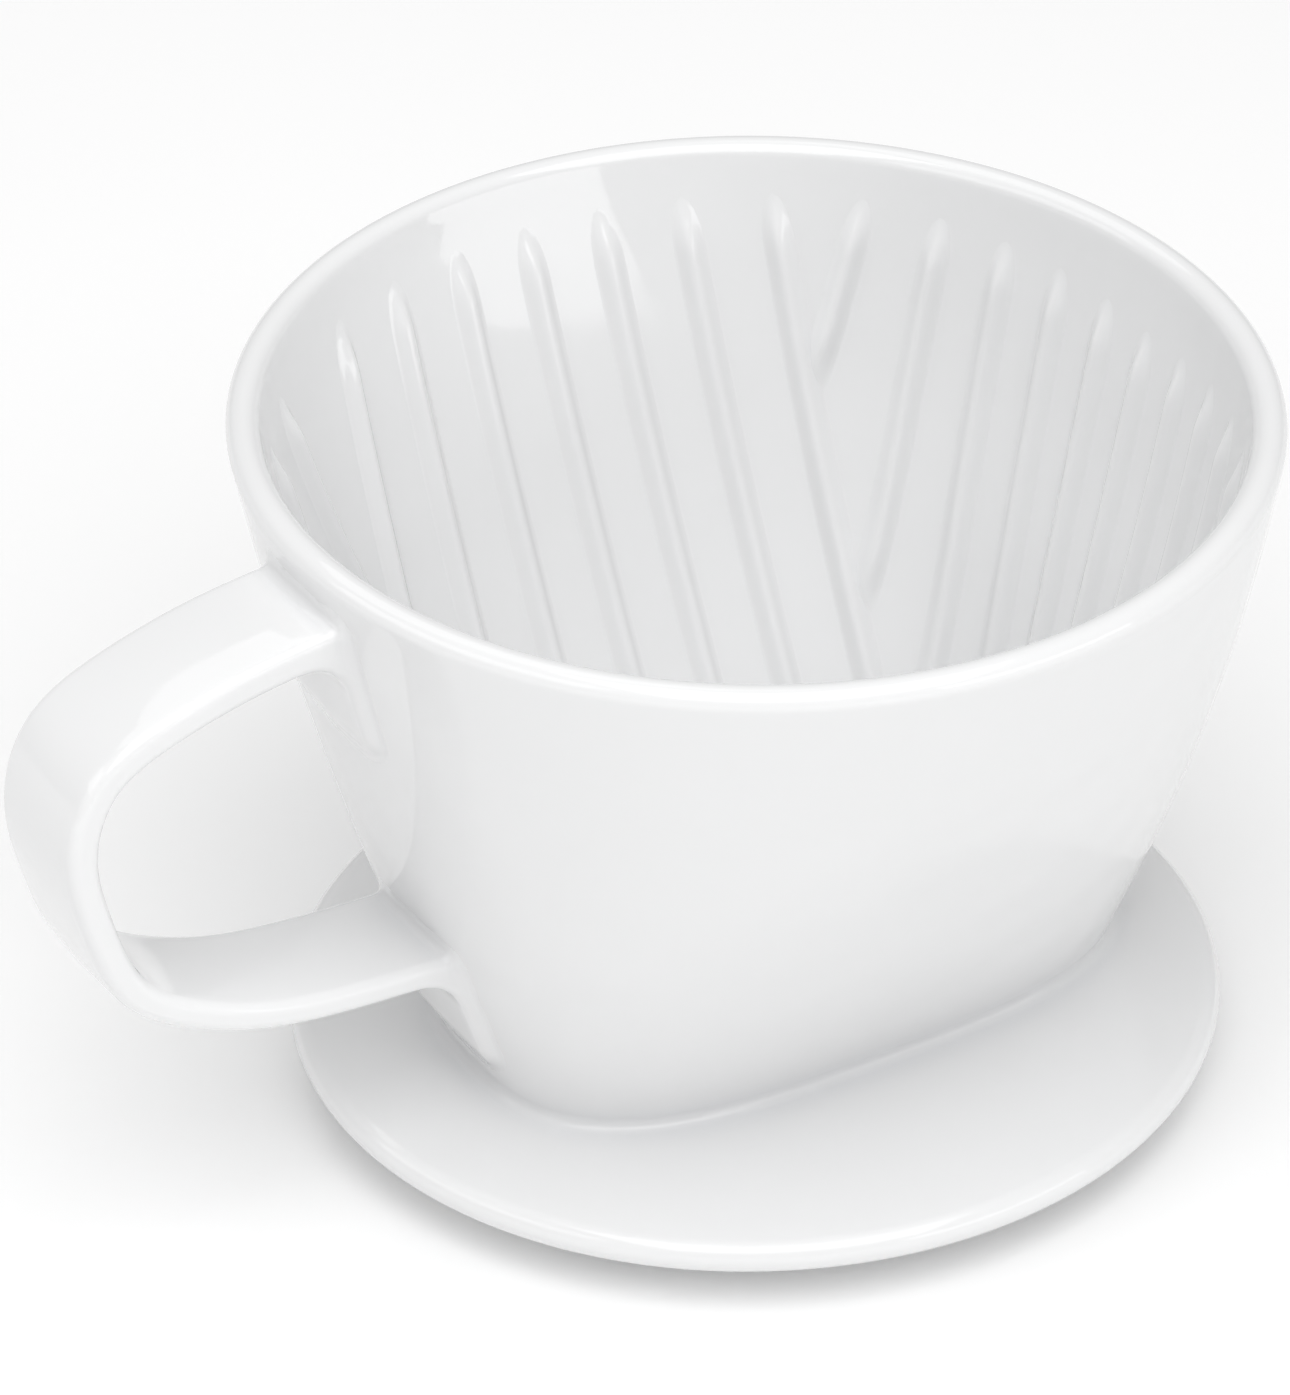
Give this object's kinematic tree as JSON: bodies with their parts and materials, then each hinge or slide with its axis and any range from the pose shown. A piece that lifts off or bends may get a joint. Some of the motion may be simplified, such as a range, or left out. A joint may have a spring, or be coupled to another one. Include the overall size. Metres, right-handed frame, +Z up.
{
  "type": "pour over dripper",
  "caption": "White glazed porcelain pour-over coffee dripper: a ribbed wedge cone with a round rim, on an oval saucer with a locating ring below, and a flat strap handle at one end.",
  "frame": {"origin": "where the cone's upright axis meets the plane the locating ring stands on", "axes": "+Z up, the wedge's long direction along X, the handle towards -X"},
  "size_m": [0.1512, 0.1196, 0.0873],
  "materials": {
    "white_glaze": "glossy clear glaze over white porcelain",
    "ring_porcelain": "glazed sides, bare matt porcelain where it stands"
  },
  "bodies": {
    "root": {"cone_wall": "white_glaze", "cone_floor": "white_glaze", "saucer": "white_glaze", "front_ribs": "white_glaze", "back_ribs": "white_glaze", "handle_end_ribs": "white_glaze", "far_end_ribs": "white_glaze", "handle_strap": "white_glaze", "upper_slip_joint": "white_glaze", "lower_slip_joint": "white_glaze", "locating_ring": "ring_porcelain"}
  },
  "joints": []
}
